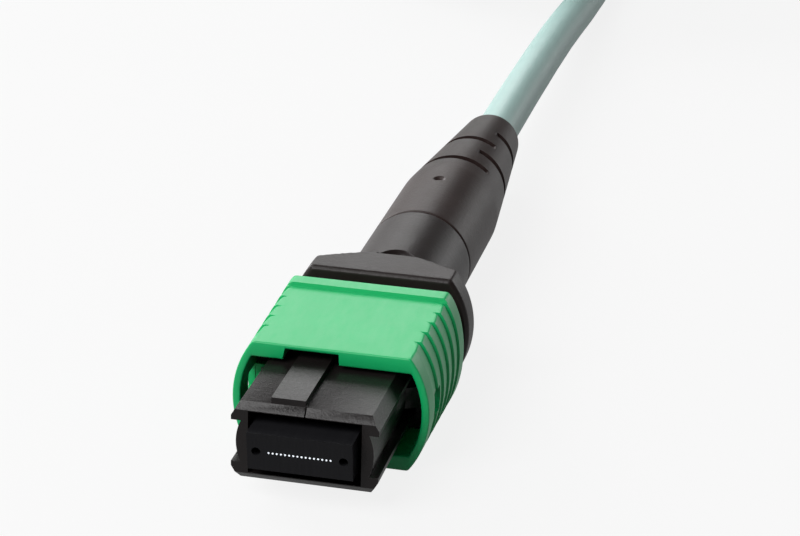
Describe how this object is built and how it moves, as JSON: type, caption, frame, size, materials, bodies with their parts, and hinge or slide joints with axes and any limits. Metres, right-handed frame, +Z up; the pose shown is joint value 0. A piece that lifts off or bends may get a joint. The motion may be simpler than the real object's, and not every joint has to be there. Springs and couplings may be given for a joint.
{
  "type": "mpo fibre connector",
  "caption": "Multi-fibre push-on plug with a keyed frame, a spring-floated flat ferrule with angled face, a green pull-back sleeve, a slotted bend relief boot and a round aqua pigtail cable.",
  "frame": {"origin": "under the middle of the plug, on the flat base it lies on, without the free cable", "axes": "+X across the plug, +Y from the mating face towards the cable, +Z up through the key side"},
  "size_m": [0.0347, 0.1593, 0.0173],
  "materials": {
    "ferrule_resin": "fine polished moulding",
    "window_epoxy": "cured epoxy",
    "fibre_glass": "polished glass ends",
    "fibre_ribbon": "coated fibre",
    "soft_rubber": "soft moulded rubber",
    "keeper_resin": "moulded",
    "spring_steel": "drawn wire",
    "frame_resin": "fine moulded grain",
    "push_resin": "moulded",
    "green_resin": "satin moulded",
    "aramid": "loose yarn",
    "crimp_metal": "crimped",
    "housing_resin": "fine moulded grain",
    "boot_elastomer": "matt elastomer",
    "aqua_jacket": "extruded",
    "tie_fabric": "hook and loop strap"
  },
  "bodies": {
    "plug": {"plug_frame": "frame_resin", "spring_push": "push_resin", "rear_housing": "housing_resin", "strain_relief_boot": "boot_elastomer", "crimp_ring": "crimp_metal", "aramid_yarn": "aramid", "jacket_in_boot": "aqua_jacket", "fibre_bundle": "fibre_ribbon", "main_spring": "spring_steel", "coupling_spring_left": "spring_steel", "coupling_spring_right": "spring_steel", "cable_run": "aqua_jacket", "cable_coil": "aqua_jacket", "coil_ties": "tie_fabric"},
    "ferrule": {"mt_ferrule": "ferrule_resin", "window_epoxy": "window_epoxy", "fibre_ends": "fibre_glass", "fibre_ribbon": "fibre_ribbon", "ferrule_boot": "soft_rubber", "pin_keeper": "keeper_resin"},
    "sleeve": {"coupling_sleeve": "green_resin"}
  },
  "joints": [
    {"name": "ferrule_float", "type": "slide", "parent": "plug", "child": "ferrule", "axis": [0, 1, 0], "range_m": [0, 0.0006], "stiffness_N_per_m": 1200, "springref_m": -0.001, "deforming": ["main_spring"]},
    {"name": "sleeve_pull", "type": "slide", "parent": "plug", "child": "sleeve", "axis": [0, 1, 0], "range_m": [0, 0.0016], "stiffness_N_per_m": 600, "springref_m": -0.001, "deforming": ["coupling_spring_left", "coupling_spring_right"]}
  ]
}
